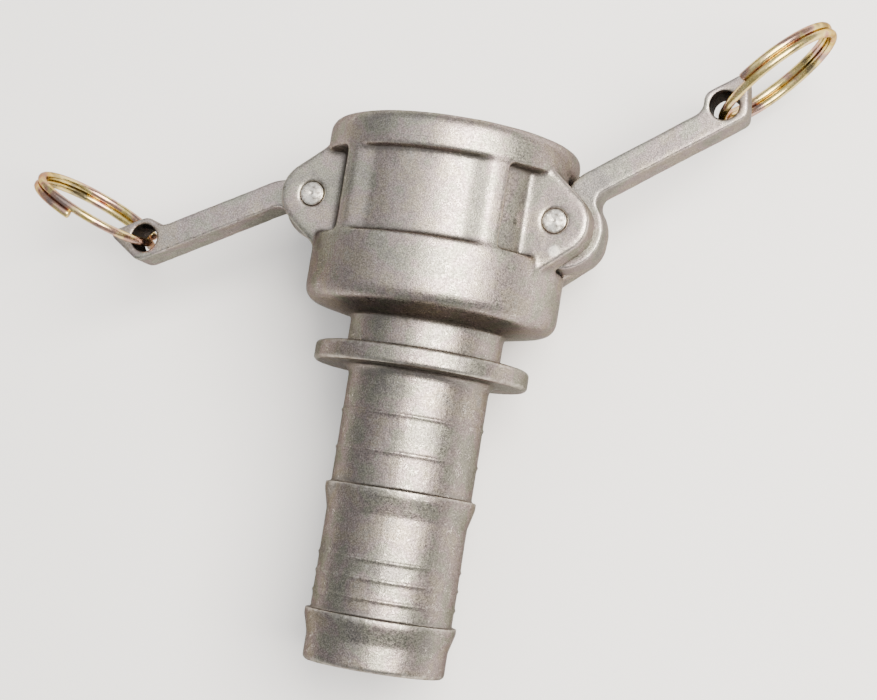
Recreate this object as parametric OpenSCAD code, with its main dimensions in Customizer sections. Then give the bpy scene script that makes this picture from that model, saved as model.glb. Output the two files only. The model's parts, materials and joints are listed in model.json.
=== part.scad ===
// Hose-shank cam-and-groove coupler with two cam arms, for 1 1/2 inch hose.
// Frame: +Y along the coupling axis towards the socket mouth, +Z along the pivot pins.
// The origin is on the coupling axis, level with the two pivot pins.
// Stations along the axis are measured from the hose end of the shank.

/* [Hose shank] */
// Diameter of the shank between the barbs
shank_d = 37.8; // [37.4:0.1:38.6]
// Diameter of the two barb crests
barb_d = 40.5; // [39.8:0.1:41.2]
// Diameter of the water passage
waterway_d = 32; // [28:0.5:33]
// Diameter of the hose stop flange
flange_d = 57.6; // [52:0.2:60]
// Thickness of the hose stop flange
flange_t = 5.2; // [4:0.1:6.5]
// Diameter of the neck between the flange and the bell
neck_d = 41.4; // [40:0.2:44]

/* [Bell] */
// Outer diameter of the bell
bell_d = 68; // [67:0.1:68.6]
// Bore of the socket that takes the adapter
socket_d = 54.2; // [54:0.1:54.6]
// Diameter of the recessed middle zone of the bell
waist_d = 59.4; // [58.8:0.1:60.2]
// Diameter of the two flat-bottomed side panels
panel_d = 62.6; // [61.8:0.1:63.4]
// Diameter over the ribs beside the panels
rib_d = 66.8; // [65.5:0.1:66.8]

/* [Gasket] */
// Outer diameter of the gasket
gasket_od = 55.6; // [55.2:0.1:55.7]
// Inner diameter of the gasket
gasket_id = 41.3; // [40.5:0.1:43]
// Thickness of the gasket
gasket_t = 6.35; // [6:0.05:6.5]

/* [Cam arms] */
// Distance of each pivot pin from the coupling axis
pin_offset = 33.2; // [33:0.1:33.5]
// Diameter of the pivot pins
pin_d = 6.4; // [5.8:0.1:6.6]
// Thickness of the cam arms
arm_t = 11; // [10.4:0.1:11.2]
// Radius of the cam nose about its pin
cam_r = 10.9; // [10.4:0.1:11.1]
// Distance from the pivot to the ring hole along the handle
hole_reach = 51.9; // [50:0.1:54]
// Diameter of the ring hole
hole_d = 7.5; // [7.4:0.1:7.8]
// Angle of the right handle above square to the axis
right_angle = 34.5; // [0:0.5:34.5]
// Angle of the left handle above square to the axis
left_angle = -27.6; // [-60:0.2:30]

/* [Pull rings] */
// Mean diameter of the ring
ring_d = 35.4; // [34.8:0.2:36]
// Diameter of the ring wire
wire_d = 2.3; // [2.1:0.05:2.3]
// Direction of the right ring above square to the axis
right_ring_angle = 44.5; // [30:0.5:60]
// Direction of the left ring above square to the axis
left_ring_angle = 26; // [15:0.5:30]

/* [Hidden] */
$fn = 96;

cast_grey = [0.50, 0.47, 0.44];
arm_grey = [0.56, 0.53, 0.50];
pin_grey = [0.68, 0.66, 0.62];
rubber_black = [0.08, 0.08, 0.08];
plating_gold = [0.74, 0.62, 0.36];

sides = [1, -1];
shank_r = shank_d / 2;
socket_r = socket_d / 2;
bell_r = bell_d / 2;
waist_r = waist_d / 2;
panel_r = panel_d / 2;
rib_r = rib_d / 2;
pin_r = pin_d / 2;
eps = 0.01;
// How far a fillet reaches into the solids it joins
inlay = 1;

// Stations from the hose end
pin_s = 121.5;
flange_s = 78.2;
bell_s = 91.5;
seat_s = 98;
waist_low_s = 111.3;
waist_high_s = 133.5;
mouth_s = 143;

// Barbs: [crest station, rise, taper length, land width]
crest_rise = (barb_d - shank_d) / 2;
barbs = [[13.6, crest_rise, 5, 1.5], [47, crest_rise, 5.2, 1.8]];
// Fine ridges between the barbs
ridge_stations = [18.5, 23.6, 28.5, 56.5, 66.4];
ridge_rise = 0.35;
ridge_run = 0.5;
ridge_land = 0.3;
end_bevel = 0.8;
flange_bevel = 0.7;
root_fillet = 2.5;

// Bell outline
base_slope = 12;
base_corner_r = 4;
rim_corner_r = 3.2;
mouth_bevel = 1.2;
passage_flare_s = 88;
seat_hole_r = 20;
recess_r = gasket_od / 2 + 0.3;
recess_t = gasket_t + 0.25;

// Side panels: angles from the panel's middle
rib_foot_angle = 24.5;
rib_crest_angle = 33.5;
rib_edge_angle = 41.5;

// Ears that carry the pins
ear_top_z = 15.5;
ear_r = 9;
ear_inner_x = 26;
ear_apex = [30.9, 13.6];
ear_tip = [30.3, -14.1];
slot_w = arm_t + 0.6;
cam_clearance = 0.5;
stop_clearance = 0.35;
open_angle = 34.5;
// Groove left round each pin end where it is staked
stake_gap = 0.35;
stake_depth = 0.7;

// Cam arm outline, along the handle and towards its open side
handle_low = 3.6;
handle_high = 10.5;
handle_root_x = 0.5;
handle_root_r = 12;
flat_reach = 5.8;
inner_fillet_r = 3;
boss_fillet_r = 4;
hole_pos = [hole_reach, 9.15];
// Tab with the ring hole: its top, the lean of its end face, and how far out that face
// lies, measured square to it from the pivot
tab_high = 14.5;
tab_lean = 28;
tab_reach = 47.6;
shoulder_r = 3;
toe_r = 2.6;
tip_r = 1.4;
shoulder_pos = [hole_reach - 1.5, tab_high - shoulder_r];
toe_pos = on_end_face(toe_r, handle_low + toe_r);
tip_pos = on_end_face(tip_r, tab_high - tip_r);
bore_clearance = 0.05;
pin_proud = 0.3;
pin_bevel = 0.4;
hole_bevel = 0.15;

// Pull rings
// Seat of a ring in its hole: [sink, shift, lift, lean]. Sink is how far the coils'
// middle lies past the hole's axis, shift its offset square to the ring, lift the ring's
// offset along the pins, and lean its turn about its own direction.
// Lap: the angles from the ring's tip between which the second coil lies, and its side.
ring_r = ring_d / 2;
coil_pitch = wire_d * 0.96;
right_ring_seat = [2.1, -0.4, -2.4, 2.8];
left_ring_seat = [0.5, 2, 3.7, 8.3];
right_ring_lap = [-145, 118, -1];
left_ring_lap = [-145, 96.5, 1];

function polar(r, a) = [r * cos(a), r * sin(a)];
// Centre, at height v, of a circle of radius r that touches the tab's end face from inside
function on_end_face(r, v) = [(tab_reach - r + v * sin(tab_lean)) / cos(tab_lean), v];
// Point where the line from p touches the circle (c, r); turn picks the side
function touch(c, r, p, turn) =
    let (d = p - c)
    c + polar(r, atan2(d[1], d[0]) + turn * acos(r / norm(d)));

// Turns a shape drawn along +Z from the hose end into the row frame
module on_axis() {
    translate([0, -pin_s, 0]) rotate([-90, 0, 0]) children();
}

// Concave corner of radius r between the walls x = 0 and y = 0
module inner_corner(r) {
    difference() {
        square([r, r]);
        translate([r, r]) circle(r = r);
    }
}

module barb_2d(barb) {
    crest = barb[0];
    base = crest - barb[2] - barb[3];
    crest_r = shank_r + barb[1];
    polygon([[0, base], [shank_r, base], [crest_r, crest - barb[3]], [crest_r, crest], [0, crest]]);
}

module shank_2d() {
    polygon([[0, 0], [shank_r - end_bevel, 0], [shank_r, end_bevel],
             [shank_r, flange_s + eps], [0, flange_s + eps]]);
    for (barb = barbs) barb_2d(barb);
    for (s = ridge_stations) barb_2d([s, ridge_rise, ridge_run, ridge_land]);
    translate([shank_r, flange_s]) mirror([0, 1]) inner_corner(root_fillet);
}

module flange_2d() {
    rim = flange_d / 2;
    top = flange_s + flange_t;
    polygon([[0, flange_s], [rim - flange_bevel, flange_s], [rim, flange_s + flange_bevel],
             [rim, top - flange_bevel], [rim - flange_bevel, top], [0, top]]);
}

module neck_2d() {
    top = flange_s + flange_t;
    translate([0, top - eps]) square([neck_d / 2, bell_s - top + 2 * eps]);
    translate([neck_d / 2, top]) inner_corner(1);
}

module bell_2d() {
    base_c = [bell_r - base_corner_r,
              bell_s + (bell_r - base_corner_r - neck_d / 2) * tan(base_slope)
              + base_corner_r / cos(base_slope)];
    rim_c = [bell_r - rim_corner_r, mouth_s - rim_corner_r];
    difference() {
        union() {
            polygon([[0, bell_s], [neck_d / 2, bell_s],
                     base_c + polar(base_corner_r, base_slope - 90),
                     [bell_r, base_c[1]], [bell_r, rim_c[1]],
                     [rim_c[0], mouth_s], [0, mouth_s]]);
            translate(base_c) circle(r = base_corner_r);
            translate(rim_c) circle(r = rim_corner_r);
        }
        translate([waist_r, waist_low_s])
            square([bell_r, waist_high_s - waist_low_s]);
    }
}

module passage_2d() {
    water_r = waterway_d / 2;
    lip_s = seat_s + recess_t;
    polygon([[0, -eps], [water_r + end_bevel, -eps], [water_r, end_bevel],
             [water_r, passage_flare_s], [seat_hole_r, seat_s - 3], [seat_hole_r, seat_s],
             [recess_r, seat_s], [recess_r, lip_s], [socket_r, lip_s],
             [socket_r, mouth_s - mouth_bevel], [socket_r + mouth_bevel + eps, mouth_s + eps],
             [0, mouth_s + eps]]);
}

// Raised panel with a rib along each side, drawn about +Y
module panel_2d() {
    floor_r = socket_r + 1;
    intersection() {
        circle(r = panel_r);
        polygon([[0, 0], polar(2 * panel_r, 90 - rib_crest_angle), polar(2 * panel_r, 90 + rib_crest_angle)]);
    }
    for (side = sides) intersection() {
        circle(r = rib_r);
        polygon([polar(floor_r, 90 + side * rib_foot_angle),
                 polar(panel_r - eps, 90 + side * rib_foot_angle),
                 polar(rib_r + eps, 90 + side * rib_crest_angle),
                 polar(1.2 * rib_r, 90 + side * rib_crest_angle),
                 polar(1.2 * rib_r, 90 + side * rib_edge_angle),
                 polar(floor_r, 90 + side * rib_edge_angle)]);
    }
}

module panels() {
    on_axis() translate([0, 0, waist_low_s - 1])
        linear_extrude(height = waist_high_s - waist_low_s + 2)
            for (turn = [0, 180]) rotate(turn) panel_2d();
}

module ear_2d() {
    pivot = [pin_offset, 0];
    polygon([[ear_inner_x, waist_low_s - pin_s - 1], ear_tip,
             touch(pivot, ear_r, ear_tip, 1), pivot,
             touch(pivot, ear_r, ear_apex, -1), ear_apex,
             [ear_inner_x, waist_high_s - pin_s + 1]]);
    translate(pivot) circle(r = ear_r);
}

// Room for the cam nose and for the handle down to its open stop
module slot_2d() {
    translate([pin_offset, 0]) {
        circle(r = cam_r + cam_clearance);
        rotate(open_angle) translate([0, -cam_r / 2])
            square([2 * bell_r, cam_r / 2 + handle_high + stop_clearance]);
    }
}

module coupler_body() {
    color(cast_grey) difference() {
        union() {
            on_axis() rotate_extrude() {
                shank_2d();
                flange_2d();
                neck_2d();
                bell_2d();
            }
            panels();
            for (side = sides) mirror([side < 0 ? 1 : 0, 0, 0])
                linear_extrude(height = 2 * ear_top_z, center = true) ear_2d();
        }
        on_axis() rotate_extrude() passage_2d();
        for (side = sides) mirror([side < 0 ? 1 : 0, 0, 0]) {
            linear_extrude(height = slot_w, center = true) slot_2d();
            translate([pin_offset, 0, 0]) cylinder(r = pin_r, h = 4 * ear_top_z, center = true);
            for (end = sides) translate([pin_offset, 0, end * ear_top_z])
                cylinder(r = pin_r + stake_gap, h = 2 * stake_depth, center = true);
        }
    }
}

module gasket() {
    color(rubber_black) on_axis() translate([0, 0, seat_s]) rotate_extrude()
        translate([gasket_id / 2, 0]) square([(gasket_od - gasket_id) / 2, gasket_t]);
}

module pivot_pin() {
    half = ear_top_z + pin_proud;
    rotate_extrude() polygon([[0, -half], [pin_r - pin_bevel, -half], [pin_r, pin_bevel - half],
                              [pin_r, half - pin_bevel], [pin_r - pin_bevel, half], [0, half]]);
}

// Cam nose, cut back to a flat that leaves the socket clear with the handle at this angle
module cam_head_2d(angle) {
    difference() {
        circle(r = cam_r);
        rotate(180 - angle) translate([flat_reach, -2 * cam_r]) square([cam_r, 4 * cam_r]);
    }
}

module handle_2d() {
    root_c = [handle_root_x + handle_root_r, handle_high - handle_root_r];
    translate([root_c[0], handle_low])
        square([shoulder_pos[0] - root_c[0], handle_high - handle_low]);
    intersection() {
        translate([handle_root_x, handle_low])
            square([handle_root_r + eps, handle_high - handle_low]);
        translate(root_c) circle(r = handle_root_r);
    }
}

// Fillet between the handle's inner face and the cam nose
module nose_fillet_2d() {
    c_y = handle_low - inner_fillet_r;
    c = [sqrt(pow(cam_r + inner_fillet_r, 2) - c_y * c_y), c_y];
    on_nose = c * cam_r / (cam_r + inner_fillet_r);
    difference() {
        polygon([on_nose, [c[0], handle_low], [c[0], handle_low + inlay],
                 [on_nose[0] - inlay, handle_low + inlay], on_nose - [inlay, 0]]);
        translate(c) circle(r = inner_fillet_r);
    }
}

// Fillet between the handle's outer face and the tab's shoulder
module shoulder_fillet_2d() {
    rise = handle_high + boss_fillet_r - shoulder_pos[1];
    reach = sqrt(pow(shoulder_r + boss_fillet_r, 2) - rise * rise);
    c = shoulder_pos + [-reach, rise];
    on_shoulder = shoulder_pos + [-reach, rise] * shoulder_r / (shoulder_r + boss_fillet_r);
    difference() {
        polygon([[c[0], handle_high - inlay], [c[0], handle_high], on_shoulder,
                 on_shoulder + [inlay, 0], [on_shoulder[0] + inlay, handle_high - inlay]]);
        translate(c) circle(r = boss_fillet_r);
    }
}

// Upturned tab at the handle's end, with a slanted end face
module tab_2d() {
    polygon([[shoulder_pos[0] - inlay, handle_low], [toe_pos[0], handle_low],
             toe_pos + polar(toe_r, -tab_lean), tip_pos + polar(tip_r, -tab_lean),
             [tip_pos[0], tab_high], [shoulder_pos[0], tab_high],
             [shoulder_pos[0] - inlay, shoulder_pos[1]]]);
    translate(shoulder_pos) circle(r = shoulder_r);
    translate(toe_pos) circle(r = toe_r);
    translate(tip_pos) circle(r = tip_r);
}

// One cam arm about its pivot, with the handle along +X, for this resting angle
module cam_arm(angle) {
    difference() {
        union() {
            linear_extrude(height = arm_t, center = true) {
                cam_head_2d(angle);
                handle_2d();
                nose_fillet_2d();
            }
            linear_extrude(height = arm_t, center = true) {
                shoulder_fillet_2d();
                tab_2d();
            }
        }
        cylinder(r = pin_r + bore_clearance, h = 2 * arm_t, center = true);
        translate(hole_pos) cylinder(d = hole_d, h = 2 * arm_t, center = true);
        for (end = [0, 180]) translate(hole_pos) rotate([end, 0, 0])
            translate([0, 0, arm_t / 2 - hole_bevel])
                cylinder(r1 = hole_d / 2, r2 = hole_d / 2 + 2 * hole_bevel, h = 2 * hole_bevel);
    }
}

module arm_at(angle) {
    translate([pin_offset, 0, 0]) rotate(angle) children();
}

// Split ring: one full coil through the ring hole and the second coil beside it
module split_ring(lap) {
    rotate_extrude() translate([ring_r, -lap[2] * coil_pitch / 2]) circle(d = wire_d);
    rotate(lap[0]) rotate_extrude(angle = lap[1] - lap[0])
        translate([ring_r, lap[2] * coil_pitch / 2]) circle(d = wire_d);
}

// Places a ring whose plane holds the ring hole's axis
module pull_ring(arm_angle, ring_angle, seat, lap) {
    arm_at(arm_angle) translate(hole_pos) rotate(ring_angle - arm_angle)
        translate([0, 0, seat[2]]) rotate([90 + seat[3], 0, 0])
            translate([ring_r - seat[0], 0, seat[1]]) split_ring(lap);
}

module pivot_pin_right() {
    color(pin_grey) arm_at(0) pivot_pin();
}

module pivot_pin_left() {
    color(pin_grey) mirror([1, 0, 0]) arm_at(0) pivot_pin();
}

module cam_arm_right() {
    color(arm_grey) arm_at(right_angle) cam_arm(right_angle);
}

module cam_arm_left() {
    color(arm_grey) mirror([1, 0, 0]) arm_at(left_angle) cam_arm(left_angle);
}

module pull_ring_right() {
    color(plating_gold) pull_ring(right_angle, right_ring_angle, right_ring_seat, right_ring_lap);
}

module pull_ring_left() {
    color(plating_gold) mirror([1, 0, 0])
        pull_ring(left_angle, left_ring_angle, left_ring_seat, left_ring_lap);
}

coupler_body();
gasket();
pivot_pin_right();
pivot_pin_left();
cam_arm_right();
cam_arm_left();
pull_ring_right();
pull_ring_left();
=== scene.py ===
import json
import math

import bmesh
import bpy
import numpy as np
from mathutils import Matrix, Vector


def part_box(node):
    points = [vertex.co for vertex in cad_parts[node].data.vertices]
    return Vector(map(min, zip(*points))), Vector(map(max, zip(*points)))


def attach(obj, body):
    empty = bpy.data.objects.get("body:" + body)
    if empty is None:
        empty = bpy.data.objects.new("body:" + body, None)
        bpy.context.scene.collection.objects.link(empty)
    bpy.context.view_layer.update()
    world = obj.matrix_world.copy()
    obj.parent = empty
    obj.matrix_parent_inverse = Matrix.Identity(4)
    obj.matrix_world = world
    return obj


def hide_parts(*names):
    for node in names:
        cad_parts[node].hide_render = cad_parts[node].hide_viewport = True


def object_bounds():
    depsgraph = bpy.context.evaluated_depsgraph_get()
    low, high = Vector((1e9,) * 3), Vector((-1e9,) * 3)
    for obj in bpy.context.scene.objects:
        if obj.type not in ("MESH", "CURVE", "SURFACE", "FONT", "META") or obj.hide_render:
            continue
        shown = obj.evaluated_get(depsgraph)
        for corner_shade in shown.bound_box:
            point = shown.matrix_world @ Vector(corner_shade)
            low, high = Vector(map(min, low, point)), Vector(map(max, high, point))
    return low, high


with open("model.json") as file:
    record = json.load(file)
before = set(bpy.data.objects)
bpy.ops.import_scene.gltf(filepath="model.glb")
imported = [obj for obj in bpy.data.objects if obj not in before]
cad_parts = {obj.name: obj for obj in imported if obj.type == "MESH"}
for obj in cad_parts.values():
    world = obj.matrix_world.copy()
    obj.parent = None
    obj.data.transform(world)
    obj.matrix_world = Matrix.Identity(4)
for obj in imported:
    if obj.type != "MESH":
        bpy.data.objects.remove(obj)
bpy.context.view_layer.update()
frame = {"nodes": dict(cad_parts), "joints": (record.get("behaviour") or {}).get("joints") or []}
MM = 0.001
joints = {joint["name"]: joint for joint in frame["joints"]}


# ---------------------------------------------------------------- noise and mesh helpers

def value_noise(points, size, seed):
    """Smooth noise from -1 to 1 with features of that size, at an array of points."""
    count = 32
    grid = np.random.default_rng(seed).uniform(-1, 1, (count, count, count))
    # Shifted so that every cell's number is positive
    place = points / size + 500.0
    cell = np.floor(place).astype(int)
    t = place - cell
    t = t * t * (3 - 2 * t)
    total = np.zeros(len(points))
    for dx in (0, 1):
        for dy in (0, 1):
            for dz in (0, 1):
                share = (np.abs(1 - dx - t[:, 0]) * np.abs(1 - dy - t[:, 1])
                         * np.abs(1 - dz - t[:, 2]))
                total += share * grid[(cell[:, 0] + dx) % count, (cell[:, 1] + dy) % count,
                                      (cell[:, 2] + dz) % count]
    return total


def mesh_points(mesh):
    flat = np.empty(len(mesh.vertices) * 3, np.float32)
    mesh.vertices.foreach_get("co", flat)
    return flat.reshape(-1, 3).astype(float)


def set_points(mesh, points):
    mesh.vertices.foreach_set("co", points.astype(np.float32).ravel())
    mesh.update()


def vertex_normals(mesh):
    flat = np.empty(len(mesh.vertices) * 3, np.float32)
    mesh.vertex_normals.foreach_get("vector", flat)
    return flat.reshape(-1, 3).astype(float)


class Relax:
    """Laplacian smoothing of values held at a mesh's points."""

    def __init__(self, mesh):
        edges = np.empty(len(mesh.edges) * 2, np.int32)
        mesh.edges.foreach_get("vertices", edges)
        self.a, self.b = edges.reshape(-1, 2).T
        self.count = len(mesh.vertices)
        self.degree = (np.bincount(self.a, minlength=self.count)
                       + np.bincount(self.b, minlength=self.count))

    def average(self, values):
        out = np.empty_like(values)
        for k in range(values.shape[1]):
            out[:, k] = (np.bincount(self.a, values[self.b, k], self.count)
                         + np.bincount(self.b, values[self.a, k], self.count))
        return out / self.degree[:, None]

    def run(self, values, rounds, weight):
        for _ in range(rounds):
            values = values + weight * (self.average(values) - values)
        return values


def new_object(name, mesh):
    obj = bpy.data.objects.new(name, mesh)
    bpy.context.scene.collection.objects.link(obj)
    return obj


def add_attribute(mesh, name, values):
    attribute = mesh.attributes.new(name, "FLOAT", "POINT")
    attribute.data.foreach_set("value", values.astype(np.float32))


def shade_smooth(mesh):
    mesh.polygons.foreach_set("use_smooth", [True] * len(mesh.polygons))


# ---------------------------------------------------------------- materials

class Look:
    """A Principled material, with short calls for the nodes that its look is made of."""

    def __init__(self, name, metallic=0.0):
        self.material = bpy.data.materials.new(name)
        self.material.use_nodes = True
        self.nodes = self.material.node_tree.nodes
        self.links = self.material.node_tree.links
        self.shader = self.nodes["Principled BSDF"]
        self.set("Metallic", metallic)

    def put(self, socket, value):
        """Links a node's output to a socket, or sets the socket to a number or a colour."""
        if isinstance(value, bpy.types.NodeSocket):
            self.links.new(value, socket)
        elif hasattr(value, "__len__"):
            socket.default_value = (*value, 1)
        else:
            socket.default_value = value

    def set(self, name, value):
        self.put(self.shader.inputs[name], value)

    def place(self):
        return self.nodes.new("ShaderNodeTexCoord").outputs["Object"]

    def attribute(self, name):
        node = self.nodes.new("ShaderNodeAttribute")
        node.attribute_name = name
        return node.outputs["Fac"]

    def noise(self, size, detail=3.0, rough=0.55):
        """A noise texture with features of about that size."""
        node = self.nodes.new("ShaderNodeTexNoise")
        node.inputs["Scale"].default_value = 1 / size
        node.inputs["Detail"].default_value = detail
        node.inputs["Roughness"].default_value = rough
        self.links.new(self.place(), node.inputs["Vector"])
        return node.outputs["Fac"]

    def ramp(self, source, *stops):
        """Turns a value into a colour or a grey, from stops of (value, colour or grey)."""
        node = self.nodes.new("ShaderNodeValToRGB")
        while len(node.color_ramp.elements) < len(stops):
            node.color_ramp.elements.new(0.5)
        for element, (at, colour) in zip(node.color_ramp.elements, stops):
            element.position = at
            element.color = (*colour, 1) if hasattr(colour, "__len__") else (colour,) * 3 + (1,)
        self.links.new(source, node.inputs["Fac"])
        return node.outputs["Color"]

    def math(self, operation, a, b):
        node = self.nodes.new("ShaderNodeMath")
        node.operation = operation
        self.put(node.inputs[0], a)
        self.put(node.inputs[1], b)
        return node.outputs[0]

    def mix(self, factor, a, b, blend="MIX"):
        node = self.nodes.new("ShaderNodeMix")
        node.data_type = "RGBA"
        node.blend_type = blend
        # The colour sockets of a mix node are its seventh and eighth
        for socket, value in ((node.inputs[0], factor), (node.inputs[6], a), (node.inputs[7], b)):
            self.put(socket, value)
        return node.outputs[2]

    def bump(self, height, strength, distance):
        node = self.nodes.new("ShaderNodeBump")
        node.inputs["Strength"].default_value = strength
        node.inputs["Distance"].default_value = distance
        self.links.new(height, node.inputs["Height"])
        self.set("Normal", node.outputs["Normal"])


def times(colour, *factors):
    """A colour scaled by one factor, or by one for each of red, green and blue."""
    return tuple(c * f for c, f in zip(colour, factors * 3 if len(factors) == 1 else factors))


def cast_metal(name, tint, bright, grain):
    """Bead-blasted investment casting: matt grain, blotches, bright worn edges, painted shade in inside
    corners and in hollows, and a painted light falloff along the part.
    """
    look = Look(name, 1.0)
    edge = look.attribute("edge")
    fine = look.noise(grain, 2.0)
    blotch = look.noise(9 * MM, 4.0)
    patch = look.noise(2.2 * MM, 5.0, 0.7)

    # Blotches of dark, olive, pink and straw, with the grain over them
    base = look.ramp(blotch, (0.32, times(tint, 0.84)), (0.43, times(tint, 0.95, 1.0, 0.90)),
                     (0.52, times(tint, 1.05, 0.95, 0.99)), (0.62, times(tint, 1.10, 1.04, 0.93)),
                     (0.74, tint))
    speck = look.ramp(fine, (0.36, 0.68), (0.5, 1.0), (0.62, 1.5))
    base = look.mix(0.8, base, speck, "MULTIPLY")

    # Painted light falloff: zero 60 mm below the pins, one at the pins, so the shank is painted darker
    # than the end with the arms
    along = look.nodes.new("ShaderNodeSeparateXYZ")
    look.links.new(look.place(), along.inputs["Vector"])
    lit_toward_pins = look.math("ADD", look.math("DIVIDE", along.outputs["Y"], 60 * MM), 1.0)
    base = look.mix(1.0, base, look.ramp(lit_toward_pins, (0.2, 0.85), (0.8, 1.16)), "MULTIPLY")

    # Painted shade in inside corners, bright worn edges and scuffs, knocked places, and painted shade
    # in hollows
    worn = look.ramp(look.math("ADD", patch, look.math("MULTIPLY", edge, 0.22)),
                     (0.72, 0.0), (0.95, 0.5))
    scuff = look.math("MULTIPLY", look.ramp(patch, (0.53, 0.0), (0.62, 1.0)),
                      look.ramp(fine, (0.5, 0.0), (0.58, 1.0)))
    # Painted shade: where the edge value is below zero, in inside corners, the colour is darkened
    corner_shade = look.ramp(look.math("MULTIPLY", edge, -1.0), (0.15, 0.0), (1.0, 0.7))
    shade = look.attribute("shade")
    base = look.mix(corner_shade, base, times(tint, 0.72))
    base = look.mix(worn, base, bright)
    base = look.mix(look.math("MULTIPLY", scuff, 0.5), base, bright)
    base = look.mix(look.attribute("knock"), base, (0.9, 0.86, 0.78))
    # Painted shade: the ring hole walls and the groove pit are darkened
    base = look.mix(shade, base, times(tint, 0.3))
    look.set("Base Color", base)
    # Painted shade also dims the reflections there
    look.set("Specular Tint", look.ramp(shade, (0.0, 0.2), (1.0, 0.06)))

    rough = look.ramp(patch, (0.3, 0.42), (0.7, 0.54))
    glint = look.ramp(look.noise(1.5 * grain, 1.0), (0.42, 1.0), (0.62, 0.65))
    rough = look.mix(1.0, rough, glint, "MULTIPLY")
    rough = look.mix(scuff, rough, (0.2, 0.2, 0.2))
    rough = look.mix(worn, rough, (0.3, 0.3, 0.3))
    look.set("Roughness", rough)
    look.bump(fine, 0.5, 0.1 * MM)
    return look.material


def pin_metal(name, ring_size):
    """Turned pin end: bright, with fine turning rings and a few dull stains."""
    look = Look(name, 1.0)
    stain = look.noise(0.9 * MM, 4.0, 0.65)
    look.set("Base Color", look.ramp(stain, (0.35, (0.22, 0.20, 0.18)), (0.5, (0.60, 0.57, 0.52)),
                                     (0.65, (0.88, 0.86, 0.80))))
    look.set("Roughness", look.ramp(stain, (0.3, 0.5), (0.65, 0.3)))
    wave = look.nodes.new("ShaderNodeTexWave")
    wave.wave_type = "RINGS"
    wave.rings_direction = "Z"
    wave.inputs["Scale"].default_value = 0.3 / ring_size
    wave.inputs["Distortion"].default_value = 1.2
    wave.inputs["Detail"].default_value = 2.0
    look.links.new(look.place(), wave.inputs["Vector"])
    look.bump(wave.outputs["Fac"], 0.6, 0.05 * MM)
    return look.material


def rubber(name):
    """Moulded black rubber with a little dust."""
    look = Look(name)
    dust = look.noise(6 * MM, 4.0)
    look.set("Base Color", look.ramp(dust, (0.35, (0.016, 0.016, 0.017)), (0.75, (0.05, 0.048, 0.045))))
    look.set("Roughness", look.ramp(dust, (0.3, 0.42), (0.7, 0.62)))
    look.bump(look.noise(0.25 * MM, 2.0), 0.3, 0.05 * MM)
    return look.material


def plated(name):
    """Yellow-chromate plating: gold with olive, pink and brown tints."""
    look = Look(name, 1.0)
    look.set("Specular Tint", (0.42, 0.28, 0.17))
    look.set("Coat Weight", 0.15)
    look.set("Coat Roughness", 0.12)
    tone = look.noise(7 * MM, 2.5, 0.55)
    fine = look.noise(0.5 * MM, 3.0, 0.6)
    base = look.ramp(tone, (0.34, (0.30, 0.25, 0.14)), (0.43, (0.62, 0.48, 0.17)),
                     (0.50, (0.70, 0.57, 0.26)), (0.57, (0.52, 0.31, 0.23)),
                     (0.66, (0.34, 0.25, 0.22)))
    base = look.mix(0.25, base, look.ramp(fine, (0.35, 0.6), (0.6, 1.0)), "MULTIPLY")
    look.set("Base Color", base)
    look.set("Roughness", look.ramp(fine, (0.3, 0.2), (0.7, 0.30)))
    look.bump(fine, 0.1, 0.03 * MM)
    return look.material


def pale_floor(name):
    """Painted pool of light: white under the part, falling off to grey further out."""
    look = Look(name)
    spread = look.nodes.new("ShaderNodeVectorMath")
    spread.operation = "LENGTH"
    look.links.new(look.place(), spread.inputs[0])
    # Painted pool of light: bright near the centre, grey further away
    look.set("Base Color", look.ramp(spread.outputs["Value"], (0.2, 0.93), (0.55, 0.30)))
    look.set("Roughness", 0.9)
    look.set("Specular IOR Level", 0.1)
    return look.material


# ---------------------------------------------------------------- castings

# Layers of a casting's unevenness: size of the features and their height, in mm
UNEVEN = ((5, 0.045), (1.7, 0.02), (0.7, 0.012))
# Points of the CAD mesh that are closer than this, in metres, are joined
WELD = 0.5e-5


def cast_copy(node, name, voxel, rounding, rounds, shade, knock, seed):
    """A copy of a CAD node with the soft edges, filled corners and slight unevenness of a
    casting. rounding(points) gives how far each point's edges are eased, from 0 to 1,
    shade(points) how much painted shade its surface gets, and knock(points) how far it is knocked
    bright."""
    source = new_object(name, frame["nodes"][node].data.copy())
    shape = bmesh.new()
    shape.from_mesh(source.data)
    bmesh.ops.remove_doubles(shape, verts=shape.verts, dist=WELD)
    shape.to_mesh(source.data)
    shape.free()
    remesh = source.modifiers.new("voxels", "REMESH")
    remesh.mode = "VOXEL"
    remesh.voxel_size = voxel
    remesh.adaptivity = 0
    evaluated = source.evaluated_get(bpy.context.evaluated_depsgraph_get())
    mesh = bpy.data.meshes.new_from_object(evaluated)
    bpy.data.objects.remove(source)
    mesh.materials.clear()

    relax = Relax(mesh)
    start = mesh_points(mesh)
    weight = rounding(start)[:, None]
    points = relax.run(start, 4, 0.5 * np.minimum(1, 0.35 + weight))
    points = relax.run(points, rounds, 0.6 * weight)
    set_points(mesh, points)
    normals = vertex_normals(mesh)
    # How far an edge stands out, or a corner lies in, of its wider surroundings
    wide = relax.run(points, 26, 0.6)
    edge = ((points - wide) * normals).sum(1) / (0.12 * MM)
    uneven = sum(value_noise(points, size * MM, seed + k) * height
                 for k, (size, height) in enumerate(UNEVEN)) * MM
    set_points(mesh, points + normals * uneven[:, None])
    add_attribute(mesh, "edge", relax.run(edge[:, None], 3, 0.5)[:, 0])
    add_attribute(mesh, "shade", shade(start))
    add_attribute(mesh, "knock", knock(start))
    shade_smooth(mesh)
    return new_object(name, mesh)


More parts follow.
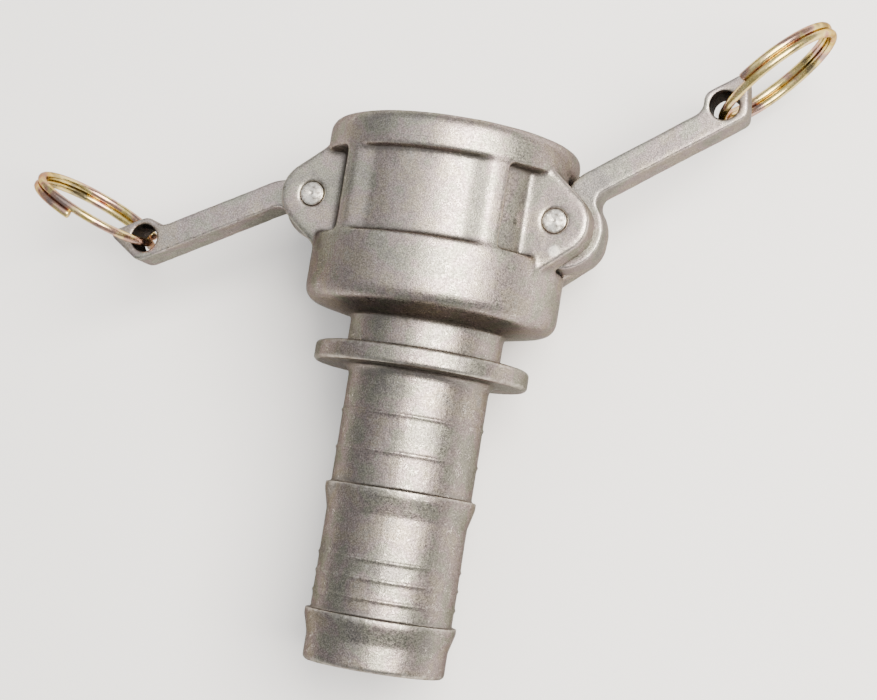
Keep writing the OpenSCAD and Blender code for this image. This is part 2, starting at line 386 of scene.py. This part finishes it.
def body_rounding(points):
    """The bell and the ears are soft; the shank, the flange and the pin holes are crisper."""
    pin_low, pin_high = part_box("pivot_pin_right")
    pin_centre = (pin_low + pin_high) / 2
    pin_radius = (pin_high.x - pin_low.x) / 2
    shank = np.clip((points[:, 1] / MM + 36) / 5, 0.06, 1)
    from_pin = np.hypot(np.abs(points[:, 0]) - pin_centre.x, points[:, 1]) - pin_radius
    hole = np.clip((from_pin / MM - 0.3) / 1.2, 0.1, 1)
    return np.minimum(shank, hole) * 0.75


def arm_rounding(points):
    return np.full(len(points), 0.9)


def untouched(points):
    return np.zeros(len(points))


def spot(points, centre, radius):
    """One within that distance of a point in mm, falling to none over the last third."""
    out = np.linalg.norm(points - np.array(centre) * MM, axis=1) / (radius * MM)
    return np.clip((1 - out) * 3, 0, 1)


def groove_pit_shade(points):
    """Painted shade of a small pit in the groove beside the right ear."""
    return 0.6 * spot(points, (23.6, -1.9, 18.0), 0.9)


def ear_nick(points):
    """A bright nick in the right ear's lower corner."""
    return 0.8 * spot(points, (34.4, -7.9, 15.5), 1.7)


def hole_wall_shade(centre):
    """A function of points that is one on the wall of the ring hole with that centre, where shade is
    painted.
    """
    def shade(points):
        out = np.hypot(points[:, 0] - centre[0], points[:, 1] - centre[1]) / MM
        return np.clip((4.1 - out) / 0.4, 0, 1)
    return shade


body_metal = cast_metal("cast_stainless", (0.262, 0.241, 0.222), (0.58, 0.54, 0.48), 0.36 * MM)
arm_metal = cast_metal("cast_stainless_arm", (0.262, 0.244, 0.230), (0.62, 0.59, 0.54), 0.34 * MM)

body = cast_copy("coupler_body", "body_casting", 0.33 * MM, body_rounding, 34, groove_pit_shade,
                 ear_nick, 11)
body.data.materials.append(body_metal)
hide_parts("coupler_body")
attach(body, "coupler")

for side, seed in (("right", 31), ("left", 47)):
    hole_at = joints["ring_" + side + "_swing"]["pos_m"]
    arm = cast_copy("cam_arm_" + side, "arm_casting_" + side, 0.25 * MM, arm_rounding, 22,
                    hole_wall_shade(hole_at), untouched, seed)
    arm.data.materials.append(arm_metal)
    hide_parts("cam_arm_" + side)
    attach(arm, "arm_" + side)


# ---------------------------------------------------------------- pins and gasket

def lathe(name, profile, segments, close):
    """Turns a profile of (radius, height) points about Z. With close, the profile is a loop;
    without, its two ends lie on the axis."""
    shape = bmesh.new()
    rings = []
    for r, z in profile if close else profile[1:-1]:
        rings.append([shape.verts.new((r * math.cos(t), r * math.sin(t), z))
                      for t in (2 * math.pi * k / segments for k in range(segments))])
    pairs = list(zip(rings, rings[1:])) + ([(rings[-1], rings[0])] if close else [])
    for ring_a, ring_b in pairs:
        for k in range(segments):
            j = (k + 1) % segments
            shape.faces.new((ring_a[k], ring_a[j], ring_b[j], ring_b[k]))
    ends = [] if close else [(profile[0], rings[0]), (profile[-1], rings[-1])]
    for (_, z), ring in ends:
        tip = shape.verts.new((0, 0, z))
        for k in range(segments):
            shape.faces.new((tip, ring[k], ring[(k + 1) % segments]))
    bmesh.ops.recalc_face_normals(shape, faces=shape.faces)
    mesh = bpy.data.meshes.new(name)
    shape.to_mesh(mesh)
    shape.free()
    shade_smooth(mesh)
    return new_object(name, mesh)


def rounded(corners, radius, steps=5):
    """A closed outline of (radius, height) corners with its corners rounded."""
    out = []
    for k, corner_shade in enumerate(corners):
        c = Vector(corner_shade)
        a = c + (Vector(corners[k - 1]) - c).normalized() * radius
        b = c + (Vector(corners[(k + 1) % len(corners)]) - c).normalized() * radius
        for j in range(steps + 1):
            t = j / steps
            out.append(tuple(a.lerp(c, t).lerp(c.lerp(b, t), t)))
    return out


# Half profile of a staked pin end of that radius, in mm: a centre dimple, then a rolled shoulder
PIN_END_R = 3.2
PIN_END = [(0, -0.16), (0.18, -0.13), (0.42, -0.02), (0.8, 0), (1.3, 0), (1.8, -0.01),
           (2.2, -0.03), (2.5, -0.07), (2.75, -0.13), (2.95, -0.22), (3.1, -0.36),
           (3.18, -0.6), (3.2, -1.0)]


def staked_pin(side, peened):
    """A pin between its staked ends. peened says how far the ends are beaten, from 0 to 1."""
    low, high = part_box("pivot_pin_" + side)
    centre = (low + high) / 2
    half = high.z - centre.z
    radius = (high.x - low.x) / 2
    top = [(x * MM * radius / (PIN_END_R * MM), half + y * MM) for x, y in PIN_END]
    pin = lathe("pin_" + side, top + [(x, -z) for x, z in reversed(top)], 64, False)
    points = mesh_points(pin.data)
    normals = vertex_normals(pin.data)
    at_end = np.clip((np.abs(points[:, 2]) - half + 0.8 * MM) / (0.5 * MM), 0, 1)
    beaten = value_noise(points, 1.1 * MM, 5) * 0.1 + value_noise(points, 0.5 * MM, 6) * 0.05 - 0.05
    set_points(pin.data, points + normals * (beaten * at_end * peened * MM)[:, None])
    pin.location = centre
    return pin


pin_material = pin_metal("pin_steel", 0.28 * MM)
for side, peened in (("right", 1.0), ("left", 0.25)):
    pin = staked_pin(side, peened)
    pin.data.materials.append(pin_material)
    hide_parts("pivot_pin_" + side)
    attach(pin, "coupler")

# Gasket with eased corners
GASKET_BORE_R = 20.65 * MM
low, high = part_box("gasket")
section = [(GASKET_BORE_R, low.y), (high.x, low.y), (high.x, high.y), (GASKET_BORE_R, high.y)]
gasket = lathe("gasket_seal", rounded(section, 0.7 * MM), 160, True)
gasket.data.transform(Matrix.Rotation(math.radians(-90), 4, "X"))
gasket.data.materials.append(rubber("seal_rubber"))
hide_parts("gasket")
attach(gasket, "coupler")


# ---------------------------------------------------------------- pull rings

WIRE_R = 1.15 * MM
RING_R = 17.7 * MM
PITCH = 2.3 * 0.96 * MM
# About how far one step of the wire turns, and how far it turns to cross lanes, in degrees
STEP = 3
CROSSING = 30
# Two more loops round off each cut end: their share of the wire's radius, and how far past
# the end they lie, in mm
END_EASE = (0.93, 0.62)
END_REACH = (0.10, 0.16)


def split_ring(name, wire_start, wire_end, jog, side):
    """One wire wound about Z. It runs in the lane on that side from wire_start (degrees) down
    to jog, then crosses to the other lane and runs on to wire_end."""
    steps = int((wire_start - wire_end) / STEP)
    around = 14
    extra = len(END_EASE)
    shape = bmesh.new()
    loops = []
    for k in range(-extra, steps + extra + 1):
        t = min(max(k / steps, 0), 1)
        angle = wire_start + (wire_end - wire_start) * t
        cross = min(max((jog - angle) / CROSSING, 0), 1)
        cross = cross * cross * (3 - 2 * cross)
        lane = side * PITCH * (0.5 - cross)
        a = math.radians(angle)
        ease = 1.0
        if k < 0 or k > steps:
            over = (-k if k < 0 else k - steps) - 1
            ease = END_EASE[over]
            a += math.copysign(1, -k) * END_REACH[over] * MM / RING_R
        centre = Vector((RING_R * math.cos(a), RING_R * math.sin(a), lane))
        radial = Vector((math.cos(a), math.sin(a), 0))
        loop = []
        for j in range(around):
            u = 2 * math.pi * j / around
            out = radial * math.cos(u) + Vector((0, 0, 1)) * math.sin(u)
            loop.append(shape.verts.new(centre + WIRE_R * ease * out))
        loops.append(loop)
    for loop_a, loop_b in zip(loops, loops[1:]):
        for j in range(around):
            i = (j + 1) % around
            shape.faces.new((loop_a[j], loop_a[i], loop_b[i], loop_b[j]))
    for loop in (loops[0], loops[-1]):
        shape.faces.new(loop)
    bmesh.ops.recalc_face_normals(shape, faces=shape.faces)
    mesh = bpy.data.meshes.new(name)
    shape.to_mesh(mesh)
    shape.free()
    shade_smooth(mesh)
    return new_object(name, mesh)


def hang_ring(ring, side, direction, sink, shift, lift, lean):
    """Places a ring in its arm's hole, as the CAD does: direction and lean in degrees, and how
    far it sinks through the hole, lies to one side and is lifted along the pins, in mm."""
    mirrored = -1 if side == "left" else 1
    hole = Vector(joints["ring_" + side + "_swing"]["pos_m"])
    hole.x *= mirrored
    place = (Matrix.Diagonal((mirrored, 1, 1, 1)) @ Matrix.Translation(hole)
             @ Matrix.Rotation(math.radians(direction), 4, "Z")
             @ Matrix.Translation((0, 0, lift * MM))
             @ Matrix.Rotation(math.radians(90 + lean), 4, "X")
             @ Matrix.Translation((RING_R - sink * MM, 0, shift * MM)))
    ring.data.transform(place)
    if mirrored < 0:
        ring.data.flip_normals()


plating = plated("ring_plating")
# side, the wire's start, end and jog in degrees and its first lane, and the ring's seat
for side, wire, seat in (("right", (118, -498, -145, -1), (44.5, 2.1, -0.4, -2.4, 2.8)),
                         ("left", (96.5, -498, -145, 1), (26.0, 0.5, 2.0, 3.7, 8.3))):
    ring = split_ring("ring_" + side, *wire)
    hang_ring(ring, side, *seat)
    ring.data.materials.append(plating)
    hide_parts("pull_ring_" + side)
    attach(ring, "ring_" + side)


# ---------------------------------------------------------------- floor, light, camera

FLOOR_REACH = 3.0
FLOOR_GAP = 0.0002

floor_mesh = bpy.data.meshes.new("floor")
floor_corners = [(x * FLOOR_REACH, y * FLOOR_REACH, 0) for x, y in ((-1, -1), (1, -1), (1, 1), (-1, 1))]
floor_mesh.from_pydata(floor_corners, [], [(0, 1, 2, 3)])
floor_mesh.materials.append(pale_floor("pale_floor"))
floor = new_object("floor", floor_mesh)
floor.location.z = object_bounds()[0][2] - FLOOR_GAP


def area_light(name, direction, distance, size, power, colour=(1, 1, 1)):
    """A square lamp that shines on the origin from that direction."""
    lamp = bpy.data.lights.new(name, "AREA")
    lamp.size = size
    lamp.energy = power
    lamp.color = colour
    obj = new_object(name, lamp)
    away = Vector(direction).normalized()
    obj.location = away * distance
    obj.rotation_euler = away.to_track_quat("Z", "Y").to_euler()


area_light("key", (0.54, 0.12, 0.90), 1.2, 0.85, 52, (1.0, 0.93, 0.84))
area_light("top", (-0.2, 0.35, 1.0), 1.5, 1.6, 8)

world = bpy.data.worlds.new("studio")
world.use_nodes = True
background = world.node_tree.nodes["Background"]
background.inputs["Color"].default_value = (0.96, 0.98, 1.0, 1)
background.inputs["Strength"].default_value = 0.55
bpy.context.scene.world = world

# The photo's viewpoint
camera = new_object("camera", bpy.data.cameras.new("camera"))
camera.data.sensor_width = 36
camera.data.lens = 79.18
camera.data.clip_start = 0.01
camera.location = (0.14024, -0.08494, 0.49432)
camera.rotation_euler = [math.radians(angle) for angle in (7.9116, 14.3466, 9.3757)]
bpy.context.scene.camera = camera
